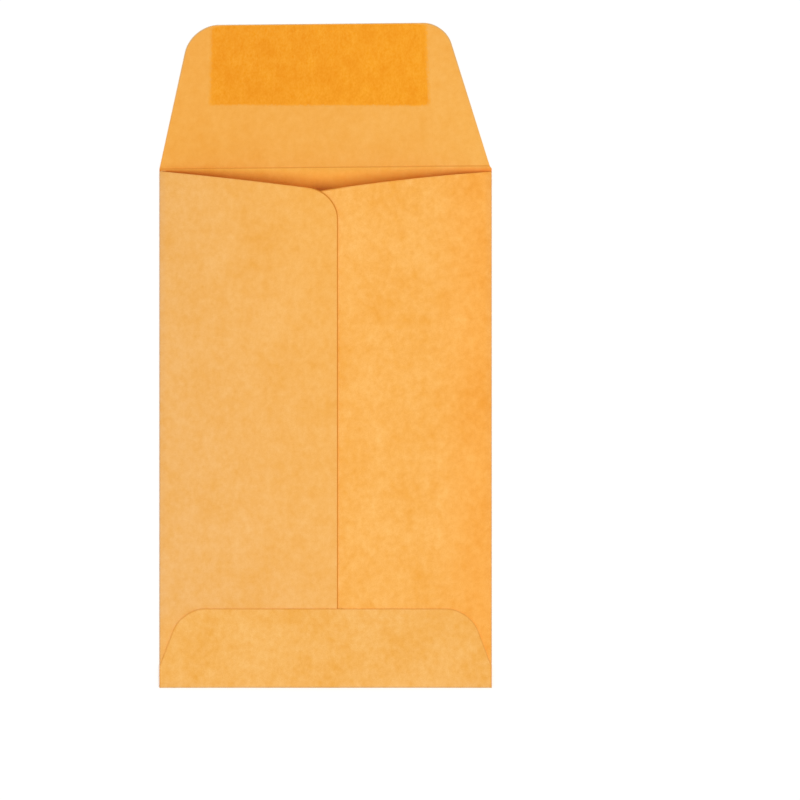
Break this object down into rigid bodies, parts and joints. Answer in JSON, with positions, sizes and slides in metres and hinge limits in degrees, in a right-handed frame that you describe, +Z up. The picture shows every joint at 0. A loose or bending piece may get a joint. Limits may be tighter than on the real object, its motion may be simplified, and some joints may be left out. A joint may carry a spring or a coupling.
{
  "type": "open coin envelope",
  "caption": "Small brown kraft envelope with an off-centre seam, lying open with its gummed closure flap spread out.",
  "frame": {"origin": "on the table under the middle of the whole open sheet", "axes": "+Z up, out of the back of the envelope; +Y from the bottom fold towards the closure flap; +X to the right, seen from above"},
  "size_m": [0.057, 0.114, 0.0053],
  "materials": {
    "kraft": "smooth brown kraft paper with fine fibres and soft cloudy mottling, matt",
    "gum": "thin film of dried gum on the paper, deeper orange, faintly glossy, with fine streaks"
  },
  "bodies": {
    "root": {"folded_sheet": "kraft", "flap_gum": "gum"}
  },
  "joints": []
}
